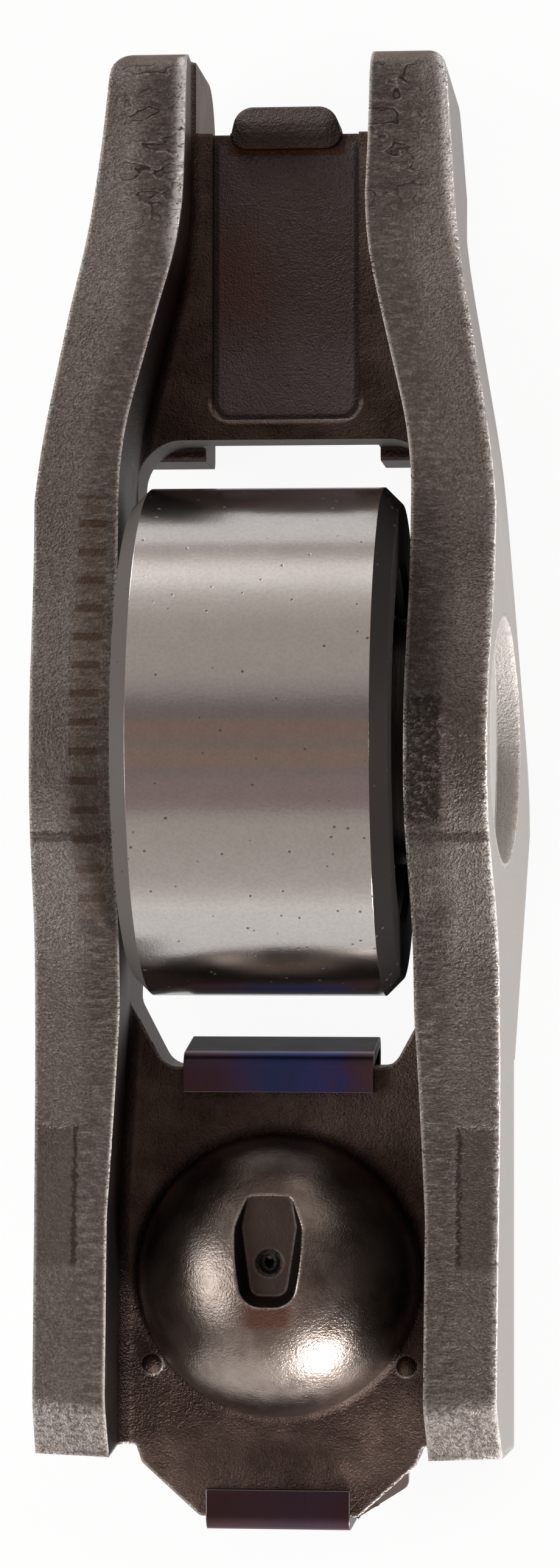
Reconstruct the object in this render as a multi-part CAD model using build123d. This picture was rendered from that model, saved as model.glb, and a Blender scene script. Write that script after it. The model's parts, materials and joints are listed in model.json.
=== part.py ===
from build123d import *
import os
from math import asin, atan2, cos, degrees, pi, radians, sin, tan

# Roller finger follower (finger rocker) for a valve train with lash adjusters.
# X runs along the roller axle, +Y points at the valve, +Z faces the camshaft.
# The origin is the centre of the ball that the drawn socket sits on.  Every
# piece is drawn with the lever level, then the whole arm is turned about X
# into the attitude in which it lies on a bench.

# ---- lever: one stamped and coined steel sheet --------------------------------
web_thickness = 2.9          # thickness of the web round the socket
web_top = 0.35               # web face above the ball centre
axle_y = 18.1                # ball centre to roller axle, along the lever
axle_z = 3.5                 # roller axle above the ball centre
cheek_thickness = 2.72       # sheet at the top edge of the cheeks
cheek_lean_outside = 4.5     # degrees that the outer faces lean in as they rise
cheek_lean_inside = 2.5      # degrees that the inner faces lean in as they rise
roller_side_play = 0.3       # roller end to cheek, where the cheeks come closest
socket_bay_extra = 0.4       # the bay round the socket is wider by this each side
outer_bend_radius = 3.6      # bend between web and cheeks, outside
inner_bend_radius = 0.5      # bend between web and cheeks, inside
window_corner_valve = 1.5    # corners of the roller window, valve side
window_corner_long = 2.2     # corners of the window at the socket, along the lever
window_corner_wide = 1.2     # corners of the window at the socket, across the lever
window_corner_soft = 0.8     # radius that softens those corners

# stations along the lever, measured from the axle towards the valve
cheek_tail = -23.75
tail_shoulder = -24.5
tail_end = -26.3
tail_end_half = 2.7
tail_corner_half = 4.7
socket_bay_front = -15.8
window_back = -11.0
window_front = 10.7
guide_back = 10.25
throat_start = 9.8
throat_end = 17.4
hip_start = -1.5
taper_start = 9.3
taper_end = 17.3
nose_end = 23.85
shoulder_back = 5.6
shoulder_front = 10.5
valve_cheek = 14.6
nose_root = 20.6
web_nose = 21.4
tongue_end = 22.3
tongue_half = 1.7
tongue_corner = 0.7

# heights above the web face
tail_height = 5.65
tail_drop = 1.7
socket_front_height = 4.45
waist_height = 4.95
hub_wall = 0.85              # sheet left above the axle hole
shoulder_height = 5.95
shoulder_front_height = 5.35
valve_cheek_height = 4.3
nose_root_height = 1.6
nose_height = 1.0
belly_drop = 3.9
fade_start = -3.0            # station where the belly's edge starts to fade

# ---- drawn ball socket ---------------------------------------------------------
ball_radius = 3.5
ball_fit = 0.03
dome_wall = 1.3
dome_root_radius = 0.25
mouth_chamfer = 0.45
oil_mouth_diameter = 0.9
oil_mouth_depth = 0.25
oil_jet_diameter = 0.32
oil_jet_lean = 45.0          # degrees that the jet leans over
oil_hole_y = 0.7
pip_radius = 0.4             # two small pips coined beside the dome
pip_sink = 0.15
pip_x = 4.35
pip_y = -3.05
keystone_floor_back = 4.1    # height of the dent's floor at its back end
keystone_floor_front = 3.75  # and at its front end
keystone_draft = 28.0        # degrees that the dent's sides slope
keystone_back = -0.2
keystone_wide = 1.9
keystone_front = 2.9
keystone_back_half = 0.42
keystone_wide_half = 0.85
keystone_front_half = 0.72

# ---- valve end -----------------------------------------------------------------
stem_diameter = 6.0          # valve stem that the guide straddles
stem_clearance = 0.1         # clearance on each side of the stem
guide_wall = 2.9             # thickness of each guide flange
guide_drop = 8.2             # guide flange bottoms below the web face
guide_corner = 0.3
guide_nose_radius = 2.2
valve_web_drop = 2.0         # web face at the valve end below the socket web
valve_web_thickness = 3.05
pad_crown_radius = 16.0
pad_middle = 16.15           # station of the crown's lowest line
pad_recess_depth = 0.4
pad_recess_half = 2.55
pad_recess_back = 11.4
lip_back = 20.85             # back edge of the raised lip on the tongue
lip_half = 1.95
lip_corner = 0.6
pad_recess_corner = 0.4
nose_channel_play = 0.1      # channel over the pad is wider than the guide by this
taper_start_wall = 4.35      # cheeks' outside, out from the channel over the pad
nose_root_wall = 3.0
nose_tip_wall = 2.5
nose_corner = 0.9            # outer corner of each cheek's nose, seen from above

# ---- roller, needles and axle --------------------------------------------------
roller_diameter = 17.0
roller_width = 8.9
roller_chamfer = 0.55
axle_diameter = 8.2
needle_diameter = 1.8
needle_gap = 0.04            # least play between neighbouring needles
raceway_clearance = 0.015    # radial play of a needle at each raceway
needle_end_play = 0.45       # each needle stops this short of the roller face
needle_crown = 0.15
axle_end_set_back = 0.12     # axle end below the cheek face
stake_groove_radius = 3.3
stake_groove_width = 0.35
stake_groove_depth = 0.25

# ---- retaining clip: blued spring sheet ----------------------------------------
clip_sheet = 0.4
clip_play = 0.04             # play between the clip and the web it hooks over
clip_bend_radius = 0.55
clip_plate_half = 4.25
clip_tail_hook_half = 2.45
clip_bay_hook_half = 3.25
clip_tail_lip = 0.95         # how far the hook at the tail laps over the web
clip_bay_lip = 0.85          # how far the hook in the window laps over the web
clip_bay_splay = 0.62        # the leg in the window stands out by this at its foot
clip_wing = 1.1              # plate corners stick out behind the web's shoulders
clip_hook_reach = 4.0        # stretch of the loop that each hook is cut from
clip_neck_radius = 3.1       # sprung hole that snaps over the ball
clip_slot_width = 0.8
clip_slot_length = 1.0
clip_corner = 0.4

# ---- worked-out sizes ----------------------------------------------------------
web_bottom = web_top - web_thickness
belly = web_top - belly_drop
hub_top = axle_z + axle_diameter / 2 + hub_wall
lean_out = tan(radians(cheek_lean_outside))
lean_in = tan(radians(cheek_lean_inside))
roller_bay_half_top = roller_width / 2 + roller_side_play
roller_bay_half = roller_bay_half_top + lean_in * (hub_top - web_top)
socket_bay_half = roller_bay_half + socket_bay_extra
side_half_top = roller_bay_half_top + cheek_thickness
side_half_low = side_half_top + lean_out * (hub_top - belly)
socket_radius = ball_radius + ball_fit
dome_radius = socket_radius + dome_wall
axle_radius = axle_diameter / 2
roller_radius = roller_diameter / 2
needle_radius = needle_diameter / 2
needle_pitch_radius = axle_radius + raceway_clearance + needle_radius
needle_count = int(pi / asin((needle_radius + needle_gap / 2) / needle_pitch_radius))
outer_race_radius = needle_pitch_radius + needle_radius + raceway_clearance
guide_half = stem_diameter / 2 + stem_clearance
guide_outer_half = guide_half + guide_wall
valve_web_top = web_top - valve_web_drop
pad_face = valve_web_top - valve_web_thickness
guide_bottom = web_top - guide_drop
nose_channel_half = guide_half + nose_channel_play
clip_bottom = web_bottom - clip_play - clip_sheet
clip_tail_y = axle_y + tail_end - clip_play - clip_sheet
rest_tilt = degrees(atan2(clip_bottom - guide_bottom, guide_back - clip_tail_y + axle_y))
bay_overlap = 2.0            # the two parts of the channel overlap by twice this
high = 20.0                  # beyond every face that a cutting prism has to clear
upright = (Align.CENTER, Align.CENTER, Align.MIN)


def along(station):
    """Y of a station that is measured from the axle."""
    return axle_y + station


def cheek_half_at(z):
    """Half width over the leaning outer faces at height z."""
    return side_half_low - lean_out * (z - belly)


def outline_across(points, radii):
    """Plan face, mirrored about the Y axis, from points of its +X side."""
    right = [(x, y) for x, y in points]
    left = [(-x, y) for x, y in reversed(points)]
    corner_radii = list(radii) + list(reversed(radii))
    return make_face(FilletPolyline(*right, *left, radius=corner_radii, close=True))


def prism_up(face, bottom, top):
    """Plan face made into an upright prism between two heights."""
    return extrude(Pos(0, 0, bottom) * face, top - bottom)


def side_prism(points, radii, half_width):
    """Outline in (Y, Z) made into a prism across the lever."""
    outline = make_face(FilletPolyline(*points, radius=radii, close=True))
    return extrude(Plane.YZ * outline, half_width, both=True)


def cheek_plan():
    """Outside of the stamping seen from the cam side."""
    return outline_across(
        [
            (tail_end_half, along(tail_end)),
            (tail_corner_half, along(tail_shoulder)),
            (tail_corner_half + 0.2, along(cheek_tail) - 0.15),
            (side_half_low, along(cheek_tail)),
            (side_half_low, along(hip_start)),
            (nose_channel_half + taper_start_wall, along(taper_start)),
            (nose_channel_half + nose_root_wall, along(taper_end)),
            (nose_channel_half + nose_tip_wall, along(nose_end)),
        ],
        [0.3, 0.3, 0.1, 0.3, 40.0, 40.0, 30.0, nose_corner],
    )


def channel_plan(extra):
    """Inside of the cheeks at the web, running out past both ends."""
    throat = nose_channel_half + extra
    roller_bay = roller_bay_half + extra
    return outline_across(
        [
            (socket_bay_half + extra, along(tail_end) - 5),
            (socket_bay_half + extra, along(socket_bay_front)),
            (roller_bay, along(window_back) + 2.0),
            (roller_bay, along(throat_start)),
            (throat, along(throat_end)),
            (throat, along(nose_end) + 5),
        ],
        [0.1, 12.0, 12.0, 14.0, 14.0, 0.1],
    )


def cheek_side():
    """Cheeks seen from the side: hub over the axle, waists either side."""
    w = web_top
    outline = [
        (tail_end, web_bottom, 0.1),
        (tail_end, w + tail_height - tail_drop - 0.4, 0.1),
        (cheek_tail, w + tail_height - tail_drop, 0.5),
        (cheek_tail + 1.8, w + tail_height, 1.0),
        (window_back - 0.2, w + socket_front_height, 25.0),
        (window_back + 4.4, w + waist_height, 5.0),
        (-2.4, hub_top, 4.5),
        (1.0, hub_top, 6.0),
        (shoulder_back, w + shoulder_height, 8.0),
        (shoulder_front, w + shoulder_front_height, 25.0),
        (valve_cheek, w + valve_cheek_height, 8.0),
        (nose_root, w + nose_root_height, 10.0),
        (nose_end, w + nose_height, 1.6),
        (nose_end, pad_face, 0.1),
        (guide_back + 1.0, pad_face, 0.8),
        (guide_back - 2.2, belly, 2.0),
        (-6.0, belly, 4.0),
        (window_back + 0.6, web_bottom, 4.0),
    ]
    points = [(along(station), z) for station, z, _ in outline]
    radii = [radius for _, _, radius in outline]
    return side_prism(points, radii, high)


def leaning_envelope(start, end, bottom, bend):
    """Section across the lever with leaning sides, run from start to end."""
    top = hub_top + 1
    corners = [
        (cheek_half_at(bottom), bottom),
        (cheek_half_at(top), top),
    ]
    section = outline_across(corners, [bend, 0.2])
    length = along(end) - along(start)
    return extrude(Plane.XZ.offset(-along(start)) * section, -length)


def belly_wedge():
    """Flat that fades the belly's sharp edge into the bend round the socket."""
    bend_height = web_bottom + outer_bend_radius
    foot_half = cheek_half_at(web_bottom) - outer_bend_radius / 2
    edge = Vector(side_half_low, along(fade_start), belly)
    bend_top = Vector(cheek_half_at(bend_height), along(window_back), bend_height)
    bend_foot = Vector(foot_half, along(window_back), web_bottom)
    outwards = (bend_top - edge).cross(bend_foot - edge)
    wedge = Plane(origin=edge, z_dir=outwards) * Box(high * 3, high * 3, high, align=upright)
    return wedge + mirror(wedge, Plane.YZ)


def lever_blank():
    """Cheeks and web before the channel, window and socket are cut."""
    walls = prism_up(cheek_plan(), guide_bottom, hub_top + 1) & cheek_side()
    socket_part = leaning_envelope(tail_end - 1, window_back + 0.3, web_bottom, outer_bend_radius)
    bay_part = leaning_envelope(window_back + 0.3, nose_end + 1, pad_face, 0.4)
    return walls & (socket_part + (bay_part - belly_wedge()))


def guide_flanges():
    """Parallel flanges that straddle the valve stem, with the web between."""
    points = [
        (along(guide_back), pad_face),
        (along(guide_back), guide_bottom),
        (along(nose_end), guide_bottom),
        (along(nose_end), valve_web_top - 0.6),
        (along(window_front), valve_web_top - 0.6),
        (along(window_front), pad_face),
    ]
    radii = [0.2, guide_corner, guide_nose_radius, 0.2, 0.1, 0.1]
    block = side_prism(points, radii, guide_outer_half)
    return block & prism_up(cheek_plan(), guide_bottom, web_top)


def stem_channel():
    """Space between the guide flanges, roofed by the crowned valve pad."""
    middle = along(pad_middle)
    crown = Pos(0, middle, pad_face + pad_crown_radius) * Rot(Y=90) * Cylinder(pad_crown_radius, high)
    channel = Box(2 * guide_half, high * 2, high, align=(Align.CENTER, Align.CENTER, Align.MAX))
    return Pos(0, middle, pad_face + 1.0) * channel - crown


def bay_between_cheeks(floor, half_space):
    """Part of the channel that stands on one stretch of web, with bent-in foot."""
    plan = channel_plan(lean_in * (web_top - floor)) & half_space
    bay = extrude(Pos(0, 0, floor) * plan, high, taper=cheek_lean_inside)
    foot = bay.faces().sort_by(Axis.Z)[0]
    sides = foot.edges().filter_by(lambda e: abs(e.tangent_at(0.5).Y) > 0.5)
    return fillet(sides, inner_bend_radius)


def channel_void():
    """Space between the cheeks above the web, deeper at the valve end."""
    split = along((window_back + window_front) / 2)
    far = 4 * high
    behind = Pos(0, split + bay_overlap, 0) * Rectangle(far, far, align=(Align.CENTER, Align.MAX))
    ahead = Pos(0, split - bay_overlap, 0) * Rectangle(far, far, align=(Align.CENTER, Align.MIN))
    return bay_between_cheeks(web_top, behind) + bay_between_cheeks(valve_web_top, ahead)


def roller_window():
    """Opening through the web that the roller turns in."""
    back = along(window_back)
    return outline_across(
        [
            (roller_bay_half - window_corner_wide, back),
            (roller_bay_half, back + window_corner_long),
            (roller_bay_half, along(window_front)),
        ],
        [window_corner_soft, window_corner_soft, window_corner_valve],
    )


def window_void():
    """Window through the web, which leans with the cheeks above the web."""
    plan = roller_window()
    above = extrude(Pos(0, 0, web_top) * plan, 2 * inner_bend_radius, taper=cheek_lean_inside)
    return prism_up(plan, pad_face, web_top) + above


def nose_trim():
    """What is cut away in front of the web to leave the tongue."""
    front = along(nose_end) + 1
    gap = Pos(0, along(web_nose), 0) * Rectangle(
        2 * guide_half + 0.04, front - along(web_nose), align=(Align.CENTER, Align.MIN)
    )
    return gap - outline_across(
        [
            (tongue_half + 0.3, along(web_nose) - 1),
            (tongue_half + 0.2, along(web_nose)),
            (tongue_half, along(tongue_end)),
        ],
        [0.1, 0.3, tongue_corner],
    )


def pad_recess():
    """Shallow coined recess over the valve pad, open at its front end."""
    length = web_nose + 1 - pad_recess_back
    recess = Rectangle(2 * pad_recess_half, length, align=(Align.CENTER, Align.MIN))
    corners = recess.vertices().sort_by(Axis.Y)[:2]
    lip = outline_across(
        [
            (lip_half, along(lip_back)),
            (lip_half, along(web_nose) + 2),
        ],
        [lip_corner, 0.1],
    )
    return Pos(0, along(pad_recess_back), 0) * fillet(corners, pad_recess_corner) - lip


def keystone():
    """Wedge-shaped dent coined into the top of the dome round the oil hole."""
    return outline_across(
        [
            (keystone_back_half, keystone_back),
            (keystone_wide_half, keystone_wide),
            (keystone_front_half, keystone_front),
        ],
        [0.2, 0.2, 0.2],
    )


def dent():
    """Keystone dent with a floor that slopes down towards the oil hole."""
    floor = [
        (keystone_back - 1, keystone_floor_back),
        (keystone_back, keystone_floor_back),
        (keystone_front, keystone_floor_front),
        (keystone_front + 1, keystone_floor_front),
        (keystone_front + 1, high),
        (keystone_back - 1, high),
    ]
    above_floor = extrude(Plane.YZ * make_face(Polyline(*floor, close=True)), high, both=True)
    pocket = extrude(Pos(0, 0, keystone_floor_front) * keystone(), 2.0, taper=-keystone_draft)
    return pocket & above_floor


def oil_hole():
    """Countersunk mouth in the dent and a fine jet that leans at the roller."""
    mouth = Cylinder(oil_mouth_diameter / 2, high, align=upright)
    jet = Cylinder(oil_jet_diameter / 2, ball_radius)
    floor = keystone_floor_back - oil_mouth_depth
    return Pos(0, oil_hole_y, floor) * (mouth + Rot(X=oil_jet_lean) * jet)


def socket_dome(lever):
    """Raise the dome on the web and hollow it for the ball."""
    upper = Pos(0, 0, web_top) * Cylinder(dome_radius * 2, dome_radius * 2, align=upright)
    lever += Sphere(dome_radius) & upper
    root = lever.edges().filter_by(GeomType.CIRCLE)
    root = root.filter_by(lambda e: abs(e.center().Z - web_top) < 1e-3 and e.radius > socket_radius)
    root = root.filter_by(lambda e: abs(e.arc_center.Y) < 1e-3)
    lever = fillet(root, dome_root_radius)
    for side in (-1, 1):
        lever += Pos(side * pip_x, pip_y, web_top - pip_sink) * Sphere(pip_radius)
    lever -= Sphere(socket_radius)
    lever -= Pos(0, 0, web_bottom) * Cylinder(socket_radius, -web_bottom, align=upright)
    flare = Cone(socket_radius + mouth_chamfer, socket_radius, mouth_chamfer, align=upright)
    lever -= Pos(0, 0, web_bottom) * flare
    return lever - dent() - oil_hole()


def lever_body():
    lever = lever_blank() + guide_flanges()
    lever -= channel_void() + window_void()
    lever -= stem_channel()
    lever -= prism_up(nose_trim(), guide_bottom - 1, web_top + high)
    lever -= prism_up(pad_recess(), valve_web_top - pad_recess_depth, web_top)
    lever -= Pos(0, along(0), axle_z) * Rot(Y=90) * Cylinder(axle_radius, high * 2)
    return socket_dome(lever)


def axle_pin():
    """Hard axle whose ends are staked into the cheeks."""
    half = cheek_half_at(axle_z) - axle_end_set_back - lean_out * axle_radius
    pin = Rot(Y=90) * Cylinder(axle_radius, 2 * half)
    pin = chamfer(pin.edges().filter_by(GeomType.CIRCLE), 0.2)
    ring = Cylinder(stake_groove_radius + stake_groove_width / 2, stake_groove_depth)
    ring -= Cylinder(stake_groove_radius - stake_groove_width / 2, stake_groove_depth)
    for side in (-1, 1):
        pin -= Pos(side * (half - stake_groove_depth / 2), 0, 0) * Rot(Y=90) * ring
    return Pos(0, along(0), axle_z) * pin


def roller_ring():
    """Hardened roller, bored as the outer raceway."""
    ring = Cylinder(roller_radius, roller_width)
    ring = chamfer(ring.edges().filter_by(GeomType.CIRCLE), roller_chamfer)
    ring -= Cylinder(outer_race_radius, roller_width)
    circles = ring.edges().filter_by(GeomType.CIRCLE)
    bore_edges = circles.filter_by(lambda e: abs(e.radius - outer_race_radius) < 1e-3)
    ring = chamfer(bore_edges, 0.2)
    return Pos(0, along(0), axle_z) * Rot(Y=90) * ring


def needle(index):
    """One loose needle of the full-complement bearing."""
    angle = 2 * pi * index / needle_count
    body = Cylinder(needle_radius, roller_width - 2 * needle_end_play)
    body = fillet(body.edges().filter_by(GeomType.CIRCLE), needle_crown)
    y = along(0) + needle_pitch_radius * cos(angle)
    z = axle_z + needle_pitch_radius * sin(angle)
    return Pos(0, y, z) * Rot(Y=90) * body


def clip_plan():
    """Flat outline of the clip's plate, whose corners peep out behind the web."""
    tail = clip_tail_y - 0.1
    return outline_across(
        [
            (clip_tail_hook_half, tail),
            (clip_tail_hook_half + 0.15, clip_tail_y + 0.1),
            (clip_plate_half, along(tail_shoulder) - clip_wing),
            (clip_plate_half, along(window_back) - 1.2),
            (clip_bay_hook_half, along(window_back) - 0.5),
            (clip_bay_hook_half, along(window_back) + clip_bay_splay + 1),
        ],
        [0.05, 0.1, clip_corner, clip_corner, 0.2, 0.05],
    )


def clip_hooks():
    """Outline of both hooks, which are narrower than the plate."""
    tail = Pos(0, clip_tail_y, 0) * Rectangle(2 * clip_tail_hook_half, clip_hook_reach)
    bay = Pos(0, along(window_back), 0) * Rectangle(2 * clip_bay_hook_half, clip_hook_reach)
    return tail + bay


def clip_band(grow, radius):
    """Loop round the web section, grown outwards by a distance."""
    low = web_bottom - clip_play - grow
    top = web_top + clip_play + grow
    back = along(tail_end) - clip_play - grow
    front = along(window_back) + clip_play + grow
    splay = clip_bay_splay
    points = [(back, low), (front + splay, low), (front, top), (back, top)]
    return side_prism(points, [radius] * 4, clip_plate_half + 1)


def retaining_clip():
    """Spring clip hooked round the web at the window and at the tail."""
    band = clip_band(clip_sheet, clip_bend_radius) - clip_band(0, clip_bend_radius - clip_sheet)
    plate = band & prism_up(clip_plan(), web_bottom - 2, web_bottom)
    clip = plate + (band & prism_up(clip_hooks(), web_bottom - 2, web_top + 2))
    gap_back = along(tail_end) + clip_tail_lip
    gap_front = along(window_back) - clip_bay_lip
    gap = Box(high, gap_front - gap_back, 1.0, align=(Align.CENTER, Align.MIN, Align.MIN))
    clip -= Pos(0, gap_back, web_top - 0.1) * gap
    clip -= Pos(0, 0, web_bottom) * Cylinder(clip_neck_radius, 2)
    slot = SlotOverall(2 * (clip_neck_radius + clip_slot_length), clip_slot_width)
    for turn in (45, 135):
        clip -= prism_up(Rot(Z=turn) * slot, web_bottom - 2, web_bottom)
    return clip


pieces = {"lever_body": lever_body(), "axle_pin": axle_pin(), "roller_ring": roller_ring()}
for index in range(needle_count):
    pieces[f"needle_{index + 1:02d}"] = needle(index)
pieces["retaining_clip"] = retaining_clip()

os.makedirs("parts", exist_ok=True)
for name, piece in pieces.items():
    export_step(Rot(X=rest_tilt) * piece, f"parts/{name}.step")
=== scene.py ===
import json
import math

import bpy
from mathutils import Matrix, Vector


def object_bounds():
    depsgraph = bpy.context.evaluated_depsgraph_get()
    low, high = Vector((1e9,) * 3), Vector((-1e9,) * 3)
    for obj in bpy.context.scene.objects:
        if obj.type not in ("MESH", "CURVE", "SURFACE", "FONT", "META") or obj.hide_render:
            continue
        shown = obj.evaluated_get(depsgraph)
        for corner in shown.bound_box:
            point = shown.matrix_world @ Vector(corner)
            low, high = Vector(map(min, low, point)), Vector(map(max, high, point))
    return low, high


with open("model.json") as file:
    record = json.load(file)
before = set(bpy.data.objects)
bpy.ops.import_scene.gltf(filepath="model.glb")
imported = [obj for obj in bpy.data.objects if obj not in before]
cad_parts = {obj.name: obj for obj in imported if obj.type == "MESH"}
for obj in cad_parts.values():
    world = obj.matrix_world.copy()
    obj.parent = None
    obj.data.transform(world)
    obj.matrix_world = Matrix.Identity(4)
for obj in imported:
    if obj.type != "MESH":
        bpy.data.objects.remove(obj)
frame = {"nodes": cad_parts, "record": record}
cad_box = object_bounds()


# ---- Camera -------------------------------------------------------------------
# The arm is seen from the cam side, nearly square on, from a hand's length away.
# The camera leans a little to the right, so the right cheek's outer face shows.
# Directions are level ones: those of the lever before it tips onto its flanges.
behaviour = frame["record"]["behaviour"]
axle = Vector(behaviour["joints"][0]["pos_m"])
socket_mouth = Vector(frame["record"]["mounts"][0]["axis"])
lie = math.atan2(socket_mouth.y, -socket_mouth.z)
level_to_world = Matrix.Rotation(lie, 4, "X")

MM = 0.001
camera_distance = 153.8 * MM
camera_pitch = math.radians(-1.55)
camera_yaw = math.radians(-5.26)
camera_roll = math.radians(-0.07)
camera_aside = Vector((0.30, -1.41, 0.0)) * MM
nearest_seen = 0.01
frame_height_px = 2576
focal_px = 7532
film_height = 36.0

turn = (
    Matrix.Rotation(camera_roll, 4, "Z")
    @ Matrix.Rotation(camera_pitch, 4, "X")
    @ Matrix.Rotation(camera_yaw, 4, "Y")
)
camera_data = bpy.data.cameras.new("camera")
camera_data.sensor_fit = "VERTICAL"
camera_data.sensor_height = film_height
camera_data.lens = focal_px * film_height / frame_height_px
camera_data.clip_start = nearest_seen
camera = bpy.data.objects.new("camera", camera_data)
bpy.context.collection.objects.link(camera)
back_off = Matrix.Translation(camera_aside + Vector((0, 0, camera_distance)))
camera.matrix_world = Matrix.Translation(axle) @ level_to_world @ turn.inverted() @ back_off
bpy.context.scene.camera = camera
bpy.context.scene.view_settings.view_transform = "Standard"


# ---- Studio -------------------------------------------------------------------
# A white sheet, four soft lamps, and a room that is white to the camera alone.
# Steel mirrors a duller one: pale past the arm's ends, dark beside it, and shaded
# in stretches overhead, which the roller draws out into its bands.
floor_z = cad_box[0][2] - 0.02 * MM
floor_half = 0.8
floor_glow = 1.07
glow_seen = 0.86
glow_mirrored = 0.50
beside_the_arm = (0.10, 0.09, 0.09)


class Wire:
    """One output of a node, on which sums are written as they are in Python."""

    def __init__(self, tree, socket):
        self.tree = tree
        self.socket = socket

    def math(self, operation, *values):
        return node(self.tree, "ShaderNodeMath", {"operation": operation}, *values)

    def __add__(self, other):
        return self.math("ADD", self, other)

    def __sub__(self, other):
        return self.math("SUBTRACT", self, other)

    def __rsub__(self, other):
        return self.math("SUBTRACT", other, self)

    def __mul__(self, other):
        return self.math("MULTIPLY", self, other)

    def __pow__(self, other):
        return self.math("POWER", self, other)

    def __abs__(self):
        return self.math("ABSOLUTE", self)

    __radd__ = __add__
    __rmul__ = __mul__


def node(tree, kind, settings, *values, output=0):
    """Adds one node: settings first, then its inputs in order or by name."""
    made = tree.nodes.new(kind)
    for name, value in settings.items():
        if name == "stops":
            ramp = made.color_ramp
            while len(ramp.elements) < len(value):
                ramp.elements.new(0.5)
            for stop, (position, colour) in zip(ramp.elements, value):
                stop.position = position
                stop.color = (*colour, 1.0)
        else:
            setattr(made, name, value)
    pairs = list(enumerate(values))
    if values and isinstance(values[0], dict):
        pairs = list(values[0].items())
    for key, value in pairs:
        if isinstance(value, Wire):
            tree.links.new(value.socket, made.inputs[key])
        else:
            made.inputs[key].default_value = value
    return Wire(tree, made.outputs[output]) if made.outputs else None


def step(value, low, high, course="SMOOTHSTEP"):
    """0 at low, 1 at high and smooth between, either way round."""
    inputs = {"Value": value, "From Min": low, "From Max": high}
    return node(value.tree, "ShaderNodeMapRange", {"interpolation_type": course}, inputs)


def blend_colour(factor, first, second, how="MIX"):
    """Colour that goes from the first to the second as the factor rises."""
    first, second = [(*c, 1.0) if isinstance(c, tuple) else c for c in (first, second)]
    settings = {"data_type": "RGBA", "blend_type": how}
    inputs = {0: factor, 6: first, 7: second}
    return node(factor.tree, "ShaderNodeMix", settings, inputs, output=2)


# Along the walls a stop is a height, from 0 at the floor's level to 1 overhead.
near_stops = [
    (0.00, (0.96, 0.92, 0.89)),
    (0.08, (0.76, 0.71, 0.68)),
    (0.26, (0.54, 0.50, 0.47)),
    (0.55, (0.48, 0.44, 0.41)),
    (0.95, (0.46, 0.41, 0.38)),
]
far_stops = [
    (0.00, (0.42, 0.37, 0.35)),
    (0.12, (0.50, 0.44, 0.41)),
    (0.24, (1.00, 0.95, 0.91)),
    (0.36, (1.00, 0.96, 0.93)),
    (0.50, (0.64, 0.59, 0.56)),
    (0.70, (0.46, 0.42, 0.39)),
    (0.95, (0.46, 0.41, 0.38)),
]
# Along the ceiling it goes from the socket end at 0 to the valve end at 1.
ceiling_stops = [
    (0.140, (1.00, 1.00, 1.00)),
    (0.165, (0.94, 0.94, 0.94)),
    (0.190, (0.60, 0.51, 0.53)),
    (0.275, (0.64, 0.53, 0.55)),
    (0.295, (0.50, 0.49, 0.51)),
    (0.320, (0.48, 0.48, 0.50)),
    (0.335, (0.64, 0.48, 0.41)),
    (0.380, (0.66, 0.50, 0.42)),
    (0.397, (0.46, 0.46, 0.47)),
    (0.430, (0.48, 0.47, 0.48)),
    (0.445, (0.58, 0.44, 0.39)),
    (0.495, (0.62, 0.46, 0.39)),
    (0.512, (0.38, 0.39, 0.45)),
    (0.560, (0.42, 0.43, 0.48)),
    (0.620, (0.84, 0.84, 0.86)),
    (0.680, (1.00, 1.00, 1.00)),
]
world = bpy.data.worlds.new("room")
world.use_nodes = True
world.node_tree.nodes.clear()
bpy.context.scene.world = world
room = world.node_tree

sees_white = node(room, "ShaderNodeLightPath", {}, output=0)
direction = node(room, "ShaderNodeTexCoord", {}, output=0)
to_side, across, height = [
    node(room, "ShaderNodeSeparateXYZ", {}, direction, output=axis) for axis in range(3)
]
to_side = abs(to_side)
near_wall = node(room, "ShaderNodeValToRGB", {"stops": near_stops}, height)
far_wall = node(room, "ShaderNodeValToRGB", {"stops": far_stops}, height)
ceiling = node(room, "ShaderNodeValToRGB", {"stops": ceiling_stops}, across * 0.5 + 0.5)
is_far = step(across - to_side * 0.8, -0.15, 0.25, "LINEAR")
is_beside = step(to_side, 0.30, 0.75, "LINEAR")
is_overhead = step(height, 0.58, 0.68, "LINEAR")
walls = blend_colour(is_beside, blend_colour(is_far, near_wall, far_wall), beside_the_arm)
shades = blend_colour(is_overhead, walls, ceiling, "MULTIPLY")
mirrored_room = node(room, "ShaderNodeBackground", {}, shades, 1.0)
white_room = node(room, "ShaderNodeBackground", {}, (1, 1, 1, 1), 1.0)
either_room = node(room, "ShaderNodeMixShader", {}, sees_white, mirrored_room, white_room)
node(room, "ShaderNodeOutputWorld", {}, either_room)


def new_tree(name):
    material = bpy.data.materials.new(name)
    material.use_nodes = True
    material.node_tree.nodes.clear()
    return material, material.node_tree


corners = [(-1, -1), (1, -1), (1, 1), (-1, 1)]
floor_points = [(floor_half * i, axle.y + floor_half * j, floor_z) for i, j in corners]
floor_mesh = bpy.data.meshes.new("floor")
floor_mesh.from_pydata(floor_points, [], [(0, 1, 2, 3)])
floor = bpy.data.objects.new("floor", floor_mesh)
bpy.context.collection.objects.link(floor)

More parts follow.
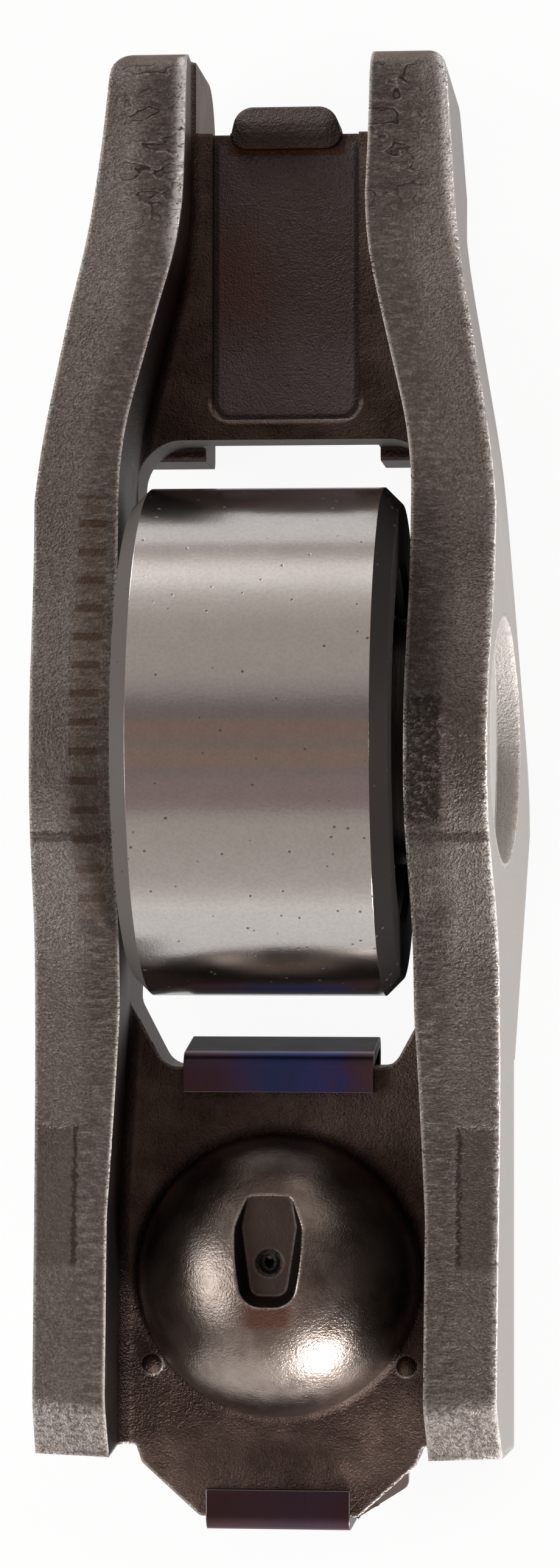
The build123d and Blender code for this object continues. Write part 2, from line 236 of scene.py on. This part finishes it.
white_sheet, tree = new_tree("white_sheet")
camera_ray = node(tree, "ShaderNodeLightPath", {}, output=0)
glossy_ray = node(tree, "ShaderNodeLightPath", {}, output=3)
sheet = node(tree, "ShaderNodeBsdfDiffuse", {}, (0.86, 0.86, 0.86, 1))
glow = node(tree, "ShaderNodeEmission", {}, (1, 1, 1, 1), floor_glow)
glowing = camera_ray * glow_seen + glossy_ray * glow_mirrored
either_sheet = node(tree, "ShaderNodeMixShader", {}, glowing, sheet, glow)
node(tree, "ShaderNodeOutputMaterial", {}, either_sheet)
floor.data.materials.append(white_sheet)


def soft_light(name, centre, size, power):
    """A square soft box aimed at the axle."""
    data = bpy.data.lights.new(name, "AREA")
    data.size = size
    data.energy = power
    lamp = bpy.data.objects.new(name, data)
    lamp.location = centre
    lamp.rotation_euler = (axle - Vector(centre)).to_track_quat("-Z", "Y").to_euler()
    bpy.context.collection.objects.link(lamp)


soft_light("key", (0.175, -0.33, 0.025), size=0.09, power=1.3)
soft_light("far", (-0.16, 0.36, 0.08), size=0.14, power=0.4)
soft_light("side", (-0.30, -0.05, 0.20), size=0.22, power=0.5)
soft_light("edge", (0.36, 0.02, 0.03), size=0.06, power=0.4)


# ---- Lever body ---------------------------------------------------------------
# One blank of case-hardened steel sheet, stamped, bent into a channel and coined,
# with the ball socket drawn up in its web.  Tumbling and heat treatment leave it
# brown-grey, with torn shear ridges on the edges that the die cut.
lever = frame["nodes"]["lever_body"]

# Millimetres from the axle: x across, y towards the valve end and z up.  Of two
# values, an edge fades in from the first to the second, or a band lies between.
web_z = -3.15
pad_web_z = web_z - 2.0

channel_half = 4.85
nose_inset = 1.5
nose_inset_y = (7.5, 18.0)
tail_outset = 0.3
tail_outset_y = (-9.0, -15.0)
channel_wall_y = (17.5, 15.5)
nose_y = (17.2, 18.8)
tail_slope_y = (-21.7, -22.1)
fracture_x = (4.6, 6.0)
fracture_y = (-2.8, 1.3)
die_joint_y = (-3.35, -3.15)
coined_mark_aside = (6.30, 7.80)
coined_line_aside = (6.28, 6.46)
coined_mark_y = (-17.4, -12.8)
heat_row_x = (-6.15, -5.20)
heat_row_y = (-5.9, 8.1)
ticks_per_mm = 1.05

recess_half = 2.56
recess_foot_y = 11.42
recess_corner = 0.70
ledge_highlight_y = (12.2, 11.9)
reddish_y = (14.5, 18.0)
valve_web_half = (3.1, 3.0)
valve_web_end_y = (21.2, 20.9)
window_cut_y = (8.0, 11.3)
tongue_half = (2.15, 1.95)
tongue_y = (20.6, 20.8)
tongue_root_y = (20.55, 20.95)
tongue_crown_half = (2.1, 1.3)
tongue_crown_y = (21.15, 22.0)

socket_y = -18.1
oil_hole_y = socket_y + 0.7
oil_hole_radius = (0.47, 0.43)
ball_z = -3.5
dome_radius = 4.83
dome_edge = (5.2, 4.95)
dome_foot = (4.70, 5.10)
dent_edge = (3.4, 3.2)
dent_floor_z = ball_z + 4.0
scuff_y = (-19.5, -18.75)

pin_radius = 4.10
outer_face_x = (6.8, 7.0)
right_rim_x = (5.0, 6.0)
nose_highlight_y = (15.5, 18.0)
# Near black: painted shade round the dome's foot, and the coined marks' edge lines.
line_and_shade_dark = (0.040, 0.030, 0.027)


def lever_position(tree):
    """Place on the level lever in millimetres from the axle, as x, y and z."""
    here = node(tree, "ShaderNodeTexCoord", {}, output=3)
    from_axle = node(tree, "ShaderNodeVectorMath", {"operation": "SUBTRACT"}, here, tuple(axle))
    turned = {"Vector": from_axle, "Angle": -lie}
    level = node(tree, "ShaderNodeVectorRotate", {"rotation_type": "X_AXIS"}, turned)
    in_mm = {"Vector": level, "Scale": 1 / MM}
    place = node(tree, "ShaderNodeVectorMath", {"operation": "SCALE"}, in_mm)
    return place, [node(tree, "ShaderNodeSeparateXYZ", {}, place, output=i) for i in range(3)]


def own_normal(tree):
    """The surface's own direction on the level lever, as x, y and z."""
    here = node(tree, "ShaderNodeTexCoord", {}, output=1)
    turned = {"Vector": here, "Angle": -lie}
    level = node(tree, "ShaderNodeVectorRotate", {"rotation_type": "X_AXIS"}, turned)
    return [node(tree, "ShaderNodeSeparateXYZ", {}, level, output=i) for i in range(3)]


def between(value, band, soft):
    """1 inside a band and 0 outside it, over a soft edge."""
    low, high = band
    return step(value, low - soft, low + soft) * step(value, high + soft, high - soft)


def distance(*sides):
    """How far off a point is whose distances along each axis are given."""
    return sum(side * side for side in sides) ** 0.5


def noise(tree, place, scale, detail, rough):
    inputs = {"Vector": place, "Scale": scale, "Detail": detail, "Roughness": rough}
    return node(tree, "ShaderNodeTexNoise", {}, inputs)


def stretched_noise(tree, place, scales, detail, rough):
    """Noise with its own scale along each axis, in blotches to the millimetre."""
    drawn = node(tree, "ShaderNodeVectorMath", {"operation": "MULTIPLY"}, place, scales)
    return noise(tree, drawn, 1.0, detail, rough)


def layered(colour, layers):
    """Lays colours over the first, each where its mask is and at its strength."""
    for mask, strength, over in layers:
        colour = blend_colour(mask * strength, colour, over)
    return colour


def edge_glint(tree, radius):
    """Rises to 1 in a narrow band along sharp edges, for tumbled wear and painted highlights.
    """
    rounded = node(tree, "ShaderNodeBevel", {"samples": 6}, radius * MM)
    normal = node(tree, "ShaderNodeNewGeometry", {}, output=1)
    inputs = {0: rounded, 1: normal}
    cosine = node(tree, "ShaderNodeVectorMath", {"operation": "DOT_PRODUCT"}, inputs, output=1)
    return step(cosine, 0.985, 0.80)


def metal(tree, colour, roughness, height, depth, softened):
    """Principled metal whose bump and softened edges are given in millimetres."""
    rounded = node(tree, "ShaderNodeBevel", {"samples": 6}, softened * MM)
    inputs = {"Height": height, "Distance": depth * MM, "Strength": 1.0, "Normal": rounded}
    relief = node(tree, "ShaderNodeBump", {}, inputs)
    sockets = {"Base Color": colour, "Roughness": roughness, "Normal": relief, "Metallic": 1.0}
    surface = node(tree, "ShaderNodeBsdfPrincipled", {}, sockets)
    node(tree, "ShaderNodeOutputMaterial", {}, surface)


class Blank:
    """A point on the stamped blank: where it is, how it faces and its grain."""

    def __init__(self, tree):
        self.tree = tree
        place, (self.x, self.y, self.z) = lever_position(tree)
        self.normal_x, self.normal_y, self.normal_z = own_normal(tree)
        self.aside = abs(self.x)
        self.cloud = noise(tree, place, 0.5, 5.0, 0.6)
        self.wander = self.cloud - 0.5
        self.grain = noise(tree, place, 5.5, 4.0, 0.7)
        self.jitter = self.grain - 0.5
        self.fine = noise(tree, place, 13.0, 2.0, 0.6)
        self.ridges = stretched_noise(tree, place, (1.8, 5.5, 1.8), 6.0, 0.72)
        self.flakes = stretched_noise(tree, place, (0.95, 1.35, 0.95), 1.6, 0.50)

        narrowing = nose_inset * step(self.y, *nose_inset_y)
        widening = tail_outset * step(self.y, *tail_outset_y)
        self.from_inner = self.aside - (channel_half - narrowing + widening)
        above_web = step(self.z, web_z + 0.3, web_z + 0.6)
        self.cheek = above_web * step(self.from_inner, -0.5, -0.3)
        self.top = self.cheek * step(self.normal_z, 0.70, 0.86)
        self.outward = step(self.x * self.normal_x, 3.5, 5.5)


def tempered_skin(at):
    """Brown-grey scale all over, browner in the channel, with painted shade on its walls."""
    colour = layered(
        blend_colour(at.cloud, (0.115, 0.094, 0.085), (0.215, 0.182, 0.166)),
        [
            (step(at.grain, 0.42, 0.64), 0.25, (0.380, 0.335, 0.310)),
            (step(at.fine, 0.50, 0.34), 0.45, (0.060, 0.046, 0.041)),
            (step(at.fine, 0.54, 0.70), 0.32, (0.440, 0.400, 0.375)),
        ],
    )
    web_tones = ((0.090, 0.061, 0.052), (0.225, 0.160, 0.133))
    web_tone = blend_colour(step(at.cloud, 0.30, 0.80), *web_tones)
    low = step(at.z, web_z + 1.2, web_z + 0.2)
    web = low * step(at.outward, 0.6, 0.3) * step(at.top, 0.6, 0.3)
    # Painted shade: the cheeks' inner walls facing the channel are darkened.
    wall_shade = step(at.x * at.normal_x, -1.0, -2.6) * step(at.y, *channel_wall_y)
    return layered(colour, [(web, 1.0, web_tone), (wall_shade, 0.75, (0.036, 0.030, 0.028))])


def valve_end(at, colour):
    """The coined recess with its rounded outline, and the tongue that ends the web.
    Painted shade lies along the recess outline and on the window's cut wall, and a
    painted highlight on the ledge at the recess foot.
    """
    past_side = at.aside - (recess_half - recess_corner)
    past_foot = recess_foot_y + recess_corner - at.y
    past_side, past_foot = [
        node(at.tree, "ShaderNodeClamp", {}, past, 0.0, 9.0) for past in (past_side, past_foot)
    ]
    from_outline = distance(past_side, past_foot) - recess_corner
    web = step(at.z, pad_web_z + 0.7, pad_web_z + 0.4)
    web = web * step(at.y, *valve_web_end_y) * step(at.aside, *valve_web_half)
    recess = step(from_outline, 0.04, -0.04) * web
    # Painted shade: a dark line along the recess outline, where its wall stands.
    outline_shade = between(from_outline, (-0.20, 0.05), 0.06) * web
    # Painted highlight: a light band on the ledge at the recess foot.
    ledge_highlight = between(from_outline, (0.02, 0.16), 0.05) * web * step(at.y, *ledge_highlight_y)

    low_window = step(at.z, web_z + 0.4, web_z)
    # Painted shade on the window's cut wall that faces the socket end.
    cut_wall_shade = step(at.normal_y, -0.6, -0.85) * between(at.y, window_cut_y, 0.1) * low_window
    tongue = between(at.z, (pad_web_z - 3.0, pad_web_z + 0.2), 0.1)
    tongue = tongue * step(at.aside, *tongue_half) * step(at.y, *tongue_y)
    crown = tongue * step(at.aside, *tongue_crown_half) * between(at.y, tongue_crown_y, 0.35)

    far_tone, near_tone = (0.165, 0.128, 0.121), (0.260, 0.220, 0.223)
    reddish = step(at.x + 4.0 * at.wander, 0.6, -1.6) * between(at.y, reddish_y, 1.2)
    recess_tone = layered(
        blend_colour(step(at.y + 2.5 * at.wander, 16.5, 12.0), far_tone, near_tone),
        [
            (step(at.y + 6.0 * at.wander, 17.5, 19.5), 0.6, (0.190, 0.162, 0.168)),
            (reddish, 0.6, (0.205, 0.105, 0.096)),
        ],
    )
    layers = [
        (recess, 1.0, recess_tone),
        (outline_shade, 0.65, (0.022, 0.016, 0.014)),
        (ledge_highlight, 0.8, (0.560, 0.460, 0.410)),
        (tongue, 1.0, (0.120, 0.100, 0.092)),
        (tongue * between(at.y, tongue_root_y, 0.1), 1.0, (0.180, 0.085, 0.060)),
        (cut_wall_shade, 0.9, (0.035, 0.028, 0.025)),
    ]
    return layered(colour, layers), crown


def ball_socket(at, colour):
    """The drawn dome with painted shade round its foot, and the keystone dent with
    its oil hole, both painted dark as shade.
    """
    from_centre = distance(at.x, at.y - socket_y)
    from_ball = distance(from_centre, at.z - ball_z)
    from_hole = distance(at.x, at.y - oil_hole_y)
    dome = step(at.z, web_z + 0.10, web_z + 0.45) * step(from_centre, *dome_edge)
    sunk = step(from_ball, dome_radius - 0.01, dome_radius - 0.08)
    dent = step(from_centre, *dent_edge) * sunk * step(at.z, 0.0, 0.1)
    hole_shade = step(from_hole, *oil_hole_radius) * step(at.z, dent_floor_z + 0.05, dent_floor_z)
    # Painted shade: a dark ring round the dome's foot.
    foot = between(from_centre, dome_foot, 0.15) * step(at.z, web_z + 1.2, web_z + 0.7)
    foot = foot * step(at.y, socket_y - 2.5, socket_y + 0.5)
    scuff = step(at.aside, 1.0, 0.5) * between(at.y + 0.4 * at.jitter, scuff_y, 0.12)

    dome_tones = ((0.230, 0.180, 0.155), (0.440, 0.370, 0.330))
    layers = [
        (dome, 1.0, blend_colour(step(at.cloud, 0.35, 0.65), *dome_tones)),
        (foot, 0.8, line_and_shade_dark),
        (scuff * dome, 0.8, (0.230, 0.110, 0.080)),
        # Painted shade: the dent, darker on its walls, and its oil hole near black.
        (dent, 0.85, (0.090, 0.064, 0.054)),
        (dent * step(at.normal_z, 0.97, 0.93), 1.0, (0.030, 0.022, 0.019)),
        (hole_shade * dent, 1.0, (0.008, 0.007, 0.008)),
    ]
    return layered(colour, layers), dome, dent


def outer_faces(at, colour):
    """Smooth sheet, greyer to the noses, with the staked ring round the pin."""
    from_pin = distance(at.y, at.z)
    seat = step(at.aside, *outer_face_x) * step(from_pin, pin_radius + 0.20, pin_radius + 0.05)
    ring = at.outward * between(from_pin, (pin_radius + 0.02, pin_radius + 0.20), 0.06)
    face_tones = ((0.580, 0.550, 0.525), (0.340, 0.312, 0.298))
    layers = [
        (at.outward, 1.0, blend_colour(step(at.y, 6.0, 14.0), *face_tones)),
        (seat, 1.0, (0.640, 0.610, 0.585)),
        (ring, 0.6, (0.400, 0.360, 0.335)),
    ]
    return layered(colour, layers), seat


def cut_tops(at, colour):
    """What the die left on the cheeks' cut tops, and what was marked there later.

    The blank tore along the inner edges and flaked on the noses, whose flake rims
    get a painted highlight.  A line shows where the die's halves met, coined marks
    stand by the socket, and a row of plain ticks in heat-tint brown runs along the
    left cheek.  The sloped tail ends are lightened, partly as wear and partly as
    painted highlight.  Gives the colour, the added roughness, the rubble that
    stands up and the cuts that go in.
    """
    torn = at.top * step(at.from_inner + 1.2 * at.wander, 1.7, 0.8)
    nose = at.top * step(at.y + 3.0 * at.wander, *nose_y)
    nose = nose * step(at.from_inner + 1.4 * at.wander, 2.0, 1.2)
    terraces = step(at.flakes, 0.450, 0.475) + 0.5 * step(at.flakes, 0.565, 0.590)
    crack = nose * between(at.flakes, (0.422, 0.458), 0.008) * step(at.ridges, 0.40, 0.52)
    # Painted highlight: a light band along the raised flakes' rims on the noses.
    flake_highlight = nose * between(at.flakes, (0.475, 0.500), 0.010) * step(at.grain, 0.46, 0.60)
    fracture = between(at.x, fracture_x, 0.15) * between(at.y + at.jitter, fracture_y, 0.15)
    fracture = at.top * fracture
    joint = at.top * between(at.y + 0.5 * at.jitter, die_joint_y, 0.08)
    # The sloped tail ends are lightened, partly as wear and partly as painted highlight.
    tail_slope = at.cheek * step(at.normal_z, 0.30, 0.45)
    tail_slope = tail_slope * step(at.y + 0.4 * at.wander, *tail_slope_y)

    mark_aside = at.aside + 0.5 * at.jitter
    mark = between(mark_aside, coined_mark_aside, 0.06)
    mark = mark * between(at.y + 0.5 * (at.fine - 0.5), coined_mark_y, 0.10) * at.top
    mark_edge = mark * between(mark_aside, coined_line_aside, 0.06)
    row = between(at.x, heat_row_x, 0.06) * between(at.y, heat_row_y, 0.20) * at.top
    along_row = at.y.math("FRACT", at.y * ticks_per_mm)
    tick = row * step(abs(along_row - 0.5), 0.17, 0.10)

    layers = [
        (torn * step(at.ridges, 0.62, 0.42), 0.55, (0.070, 0.053, 0.046)),
        (torn * step(at.ridges, 0.56, 0.72), 0.35, (0.420, 0.370, 0.340)),
        (mark, 0.55, (0.100, 0.080, 0.072)),
        (mark_edge, 0.8, line_and_shade_dark),
        (row, 0.22, (0.200, 0.130, 0.085)),
        (tick, 0.65, (0.075, 0.042, 0.026)),
        (fracture * step(at.grain, 0.66, 0.46), 0.85, (0.042, 0.032, 0.028)),
        (flake_highlight, 0.45, (0.520, 0.465, 0.430)),
        (crack, 0.90, (0.040, 0.030, 0.026)),
        (tail_slope * step(at.grain, 0.36, 0.64), 0.50, (0.560, 0.500, 0.460)),
        (joint, 0.5, (0.075, 0.055, 0.046)),
        (step(at.grain, 0.62, 0.72) * step(at.fine, 0.45, 0.60), 0.6, (0.055, 0.038, 0.032)),
    ]
    rougher = 0.10 * torn + 0.10 * nose
    rubble = 2.6 * torn * at.ridges + 3.0 * fracture * at.grain + 3.2 * nose * terraces
    cuts = 2.0 * crack + 0.7 * mark + 0.4 * tick - 1.6 * joint
    return layered(colour, layers), rougher, rubble, cuts


def bright_edges(at, colour, dent, seat):
    """Corners that tumbling wore bright, with painted highlights on top, most of all
    along the right cheek's outer edge and the noses' right-facing rims.
    """
    right_rim = step(at.x, *right_rim_x) * step(at.from_inner, 1.0, 1.8)
    # Worn edges, brightened more on the right cheek's rim as painted highlight.
    chipped_and_lit = step(at.fine + 0.6 * at.cloud + 0.30 * right_rim, 0.55, 0.85)
    bare = step(at.z, web_z - 2.6, web_z + 0.6) * (1 - 0.8 * dent) * (1 - 0.8 * seat)
    wear_and_glint = edge_glint(at.tree, 0.25) * chipped_and_lit * bare
    serrated = step(at.ridges + 0.4 * (at.fine - 0.5), 0.40, 0.56)
    # Painted highlight: a serrated bright line along the right cheek's outer edge.
    right_rim_highlight = edge_glint(at.tree, 0.56) * right_rim * serrated
    # Painted highlight on the rims that face right, on the noses.
    nose_rim = step(at.x * (at.from_inner - 0.9), 0.8, 2.2)
    nose_rim = nose_rim * step(at.y + 2.0 * at.wander, *nose_highlight_y) * at.cheek
    nose_rim_highlight = edge_glint(at.tree, 0.90) * nose_rim * step(at.grain + 0.5 * at.fine, 0.56, 0.74)
    layers = [
        (wear_and_glint, 0.9, (0.900, 0.820, 0.760)),
        (right_rim_highlight, 1.0, (0.960, 0.910, 0.870)),
        (nose_rim_highlight, 1.0, (1.000, 0.960, 0.930)),
    ]
    return layered(colour, layers), 0.20 * wear_and_glint + 0.10 * right_rim_highlight + 0.12 * nose_rim_highlight


def stamped_steel():
    material, tree = new_tree("stamped_steel")
    at = Blank(tree)
    colour, crown = valve_end(at, tempered_skin(at))
    colour, dome, dent = ball_socket(at, colour)
    colour, seat = outer_faces(at, colour)
    colour, rougher, rubble, cuts = cut_tops(at, colour)
    colour, polish = bright_edges(at, colour, dent, seat)
    roughness = 0.40 + 0.14 * at.cloud + rougher - polish
    roughness = roughness - 0.18 * dome - 0.06 * at.outward + 0.30 * dent + 0.20 * seat
    rubble = 1.1 * at.grain + 1.1 * at.fine + rubble
    relief = rubble * (1 - 0.75 * dome - 0.35 * at.outward) - (cuts - 5.0 * crown)
    metal(tree, colour, roughness, relief, depth=0.05, softened=0.15)
    return material


def finish(piece, material):
    piece.data.materials.clear()
    piece.data.materials.append(material)


finish(lever, stamped_steel())


# ---- Axle pin -----------------------------------------------------------------
# A hard ground steel pin, pressed through both cheeks and staked at its ends.
# The bearing needles run straight on it.
pin = frame["nodes"]["axle_pin"]
pin_end_x = (7.15, 7.30)
pin_track_x = (7.0, 6.6)


def pin_steel():
    material, tree = new_tree("pin_steel")
    place, (x, _, _) = lever_position(tree)
    turned = stretched_noise(tree, place, (9.0, 0.6, 0.6), 3.0, 0.6)
    speckle = noise(tree, place, 4.0, 4.0, 0.7)
    end = step(abs(x), *pin_end_x)
    layers = [
        (end * step(speckle, 0.58, 0.72), 1.0, (0.46, 0.42, 0.39)),
        # Painted dark where the pin runs between the cheeks: partly oil, partly the shade in
        # the gaps.
        (step(abs(x), *pin_track_x), 1.0, (0.045, 0.038, 0.034)),
    ]
    colour = layered(blend_colour(speckle, (0.60, 0.575, 0.55), (0.70, 0.675, 0.65)), layers)
    roughness = 0.24 + 0.14 * speckle + 0.35 * end
    metal(tree, colour, roughness, turned + speckle, depth=0.006, softened=0.05)
    return material


finish(pin, pin_steel())


# ---- Cam roller ---------------------------------------------------------------
# A through-hardened steel ring, ground and lapped round its rim, that rolls on the
# cam.  Its end faces and bore are painted dark, partly as oil and partly as the
# shade between the cheeks, and its chamfers carry painted dark reflections.
roller = frame["nodes"]["roller_ring"]
ground_from_radius = (7.80, 7.92)
pit_radius = (0.160, 0.110)
# Painted reflections: the chamfers darkened as what they mirror, the right one near black.
left_chamfer_reflection = (0.200, 0.180, 0.168)
right_chamfer_reflection = (0.035, 0.030, 0.028)


def ground_steel():
    material, tree = new_tree("ground_steel")
    place, (x, y, z) = lever_position(tree)
    normal_x = own_normal(tree)[0]
    rim = step(distance(y, z), *ground_from_radius)
    grinding = stretched_noise(tree, place, (16.0, 0.5, 0.5), 3.0, 0.7)
    haze = noise(tree, place, 1.2, 5.0, 0.65)
    orange = noise(tree, place, 9.0, 2.0, 0.6)
    cells = {"Vector": place, "Scale": 1.9, "Randomness": 1.0}
    from_pit = node(tree, "ShaderNodeTexVoronoi", {}, cells) + 0.08 * orange
    pit = step(from_pit, *pit_radius) * step(haze, 0.42, 0.48)
    chamfer = step(abs(normal_x), 0.25, 0.50)

    ground = blend_colour(haze, (0.56, 0.535, 0.515), (0.66, 0.635, 0.615))
    ground = layered(ground, [(step(orange, 0.42, 0.62), 0.22, (0.44, 0.41, 0.39))])
    # Painted dark on the end faces and bore: partly oil, partly the shade between the cheeks.
    oil_and_shade = blend_colour(haze, (0.020, 0.017, 0.015), (0.060, 0.052, 0.046))
    layers = [
        (chamfer, 1.0, blend_colour(step(x, -1.0, 1.0), left_chamfer_reflection, right_chamfer_reflection)),
        (pit, 1.0, (0.19, 0.155, 0.135)),
    ]
    colour = layered(blend_colour(rim, oil_and_shade, ground), layers)
    lapped = 0.13 + 0.05 * haze + 0.03 * grinding
    roughness = lapped + 0.20 * (1 - rim) + 0.3 * pit + 0.45 * chamfer
    relief = grinding * 0.5 + orange * 0.9 - 1.5 * pit
    metal(tree, colour, roughness, relief, depth=0.0022, softened=0.03)
    return material


finish(roller, ground_steel())


# ---- Needles ------------------------------------------------------------------
# Seventeen loose rollers of hard bearing steel, superfinished and oiled, that fill
# the space between the pin and the roller's bore.
def needle_steel():
    material, tree = new_tree("needle_steel")
    place, _ = lever_position(tree)
    haze = noise(tree, place, 2.0, 3.0, 0.6)
    colour = blend_colour(haze, (0.30, 0.28, 0.26), (0.50, 0.48, 0.46))
    metal(tree, colour, 0.15 + 0.10 * haze, haze, depth=0.004, softened=0.03)
    return material


bearing = needle_steel()
for name, piece in frame["nodes"].items():
    if name.startswith("needle"):
        finish(piece, bearing)


# ---- Retaining clip -----------------------------------------------------------
# Spring steel sheet, tempered until it blued, hooked over the web at the window
# and at the tail.  Its sprung hole holds the arm on the lash adjuster's ball.
clip = frame["nodes"]["retaining_clip"]
tail_hook_y = (-23.5, -25.6)
window_leg_y = (-11.1, -10.9)
wing_aside = (2.50, 2.65)
wing_y = (-24.9, -25.1)
temper_tints = [
    (0.10, (0.120, 0.070, 0.085)),
    (0.32, (0.115, 0.080, 0.165)),
    (0.52, (0.060, 0.085, 0.240)),
    (0.70, (0.075, 0.085, 0.290)),
    (0.82, (0.125, 0.080, 0.140)),
    (0.95, (0.160, 0.095, 0.090)),
]


def blued_steel():
    material, tree = new_tree("blued_steel")
    place, (x, y, z) = lever_position(tree)
    cloud = noise(tree, place, 0.7, 4.0, 0.6)
    grain = stretched_noise(tree, place, (9.0, 2.0, 2.0), 3.0, 0.6)
    temper = x * 0.13 + 0.5 + 0.5 * (cloud - 0.5)
    tail = step(y, *tail_hook_y)
    foot = tail * step(z, web_z - 0.3, web_z - 1.6)
    # Painted shade: the leg under the web's window edge is darkened.
    shaded_leg = step(y, *window_leg_y) * step(z, web_z + 0.05, web_z - 0.35)
    # Painted highlight: the wings' rounded edges are lightened.
    wing_highlight = step(abs(x), *wing_aside) * step(y, *wing_y)
    layers = [
        (tail, 0.85, (0.085, 0.046, 0.042)),
        (foot, 0.7, (0.040, 0.050, 0.095)),
        (shaded_leg, 0.95, (0.035, 0.035, 0.038)),
        (wing_highlight, 0.85, (0.620, 0.600, 0.590)),
        # Painted highlight along the clip's edges.
        (edge_glint(tree, 0.07), 0.8, (0.60, 0.58, 0.58)),
    ]
    colour = layered(node(tree, "ShaderNodeValToRGB", {"stops": temper_tints}, temper), layers)
    roughness = 0.30 + 0.12 * cloud + 0.25 * shaded_leg
    metal(tree, colour, roughness, grain * 0.6 + cloud, depth=0.012, softened=0.05)
    return material


finish(clip, blued_steel())
